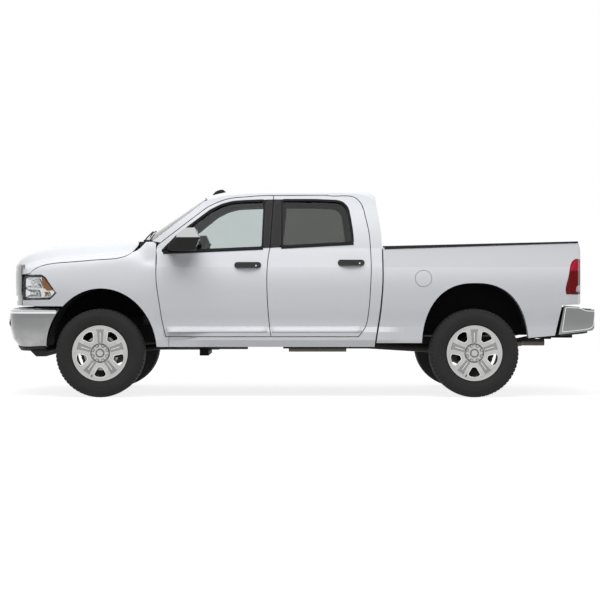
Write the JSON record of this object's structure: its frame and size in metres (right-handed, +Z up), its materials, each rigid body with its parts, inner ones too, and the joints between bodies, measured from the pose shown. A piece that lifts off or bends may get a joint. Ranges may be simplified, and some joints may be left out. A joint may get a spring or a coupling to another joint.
{
  "type": "pickup truck",
  "caption": "Full-size crew cab four-wheel-drive pickup truck with an open cargo bed, hinged doors, hood, tailgate and fuel door, steered front wheels and freely rolling wheels.",
  "frame": {"origin": "on the ground, at the middle of the overall length and width", "axes": "+X to the tail, -Y to the truck's left side, +Z up"},
  "size_m": [5.8596, 2.39, 2.0849],
  "materials": {
    "white_paint": "gloss white body paint",
    "chrome": "bright chrome plate",
    "polished_alloy": "polished cast alloy",
    "tyre_rubber": "matt black tyre rubber",
    "black_plastic": "grained black plastic",
    "clear_glass": "light green clear glass",
    "dark_glass": "dark grey privacy glass",
    "lamp_clear": "clear lamp lens",
    "lamp_red": "red lamp lens",
    "frame_black": "satin black frame paint",
    "cast_iron": "bare casting",
    "steel": "aluminised steel",
    "seat_cloth": "grey seat cloth",
    "interior_plastic": "dark grey trim"
  },
  "bodies": {
    "root": {"chassis_frame": "frame_black", "hitch_receiver": "frame_black", "engine_block": "cast_iron", "driveline": "cast_iron", "front_axle": "frame_black", "rear_axle": "frame_black", "suspension": "frame_black", "exhaust": "steel", "fuel_tank": "black_plastic", "cab_floor": "frame_black", "cab_sides": "white_paint", "cab_back": "white_paint", "roof": "white_paint", "firewall": "frame_black", "cowl": "black_plastic", "windshield": "clear_glass", "rear_window": "dark_glass", "dashboard": "interior_plastic", "seats": "seat_cloth", "front_fenders": "white_paint", "wheel_liners": "black_plastic", "radiator": "frame_black", "headlamps": "lamp_clear", "front_bumper": "chrome", "air_dam": "black_plastic", "rear_bumper": "chrome", "cargo_bed": "white_paint", "bed_sides": "white_paint", "bed_rail_caps": "black_plastic", "tail_lamps": "lamp_red"},
    "hood": {"hood": "white_paint", "grille": "chrome"},
    "front_door_left": {"front_door_left": "white_paint", "front_glass_left": "clear_glass", "mirror_left": "black_plastic"},
    "front_door_right": {"front_door_right": "white_paint", "front_glass_right": "clear_glass", "mirror_right": "black_plastic"},
    "rear_door_left": {"rear_door_left": "white_paint", "rear_glass_left": "dark_glass"},
    "rear_door_right": {"rear_door_right": "white_paint", "rear_glass_right": "dark_glass"},
    "tailgate": {"tailgate": "white_paint"},
    "fuel_door": {"fuel_door": "white_paint"},
    "knuckle_left": {"knuckle_left": "cast_iron"},
    "knuckle_right": {"knuckle_right": "cast_iron"},
    "wheel_front_left": {"wheel_front_left": "polished_alloy", "tyre_front_left": "tyre_rubber"},
    "wheel_front_right": {"wheel_front_right": "polished_alloy", "tyre_front_right": "tyre_rubber"},
    "wheel_rear_left": {"wheel_rear_left": "polished_alloy", "tyre_rear_left": "tyre_rubber"},
    "wheel_rear_right": {"wheel_rear_right": "polished_alloy", "tyre_rear_right": "tyre_rubber"}
  },
  "joints": [
    {"name": "front_door_left_hinge", "type": "hinge", "parent": "root", "child": "front_door_left", "pos_m": [-1.3633, -0.985, 1], "axis": [0, 0, -1], "range_deg": [0, 65]},
    {"name": "front_door_right_hinge", "type": "hinge", "parent": "root", "child": "front_door_right", "pos_m": [-1.3633, 0.985, 1], "axis": [0, 0, 1], "range_deg": [0, 65]},
    {"name": "rear_door_left_hinge", "type": "hinge", "parent": "root", "child": "rear_door_left", "pos_m": [-0.279, -0.985, 1], "axis": [0, 0, -1], "range_deg": [0, 65]},
    {"name": "rear_door_right_hinge", "type": "hinge", "parent": "root", "child": "rear_door_right", "pos_m": [-0.279, 0.985, 1], "axis": [0, 0, 1], "range_deg": [0, 65]},
    {"name": "hood_hinge", "type": "hinge", "parent": "root", "child": "hood", "pos_m": [-1.606, 0, 1.545], "axis": [0, 1, 0], "range_deg": [0, 48]},
    {"name": "tailgate_hinge", "type": "hinge", "parent": "root", "child": "tailgate", "pos_m": [2.752, 0, 0.918], "axis": [0, 1, 0], "range_deg": [0, 90]},
    {"name": "fuel_door_hinge", "type": "hinge", "parent": "root", "child": "fuel_door", "pos_m": [1.141, -0.994, 1.163], "axis": [0, 0, -1], "range_deg": [0, 95]},
    {"name": "steering_left", "type": "hinge", "parent": "root", "child": "knuckle_left", "pos_m": [-1.94, -0.7675, 0.433], "axis": [0, 0, 1], "range_deg": [-35, 35]},
    {"name": "steering_right", "type": "hinge", "parent": "root", "child": "knuckle_right", "pos_m": [-1.94, 0.7675, 0.433], "axis": [0, 0, 1], "range_deg": [-35, 35]},
    {"name": "roll_front_left", "type": "hinge", "parent": "knuckle_left", "child": "wheel_front_left", "pos_m": [-1.94, -0.8675, 0.433], "axis": [0, 1, 0], "continuous": true},
    {"name": "roll_front_right", "type": "hinge", "parent": "knuckle_right", "child": "wheel_front_right", "pos_m": [-1.94, 0.8675, 0.433], "axis": [0, 1, 0], "continuous": true},
    {"name": "roll_rear_left", "type": "hinge", "parent": "root", "child": "wheel_rear_left", "pos_m": [1.72, -0.8675, 0.433], "axis": [0, 1, 0], "continuous": true},
    {"name": "roll_rear_right", "type": "hinge", "parent": "root", "child": "wheel_rear_right", "pos_m": [1.72, 0.8675, 0.433], "axis": [0, 1, 0], "continuous": true}
  ],
  "couplings": [
    {"joint": "steering_right", "follows": "steering_left", "ratio": 1}
  ]
}
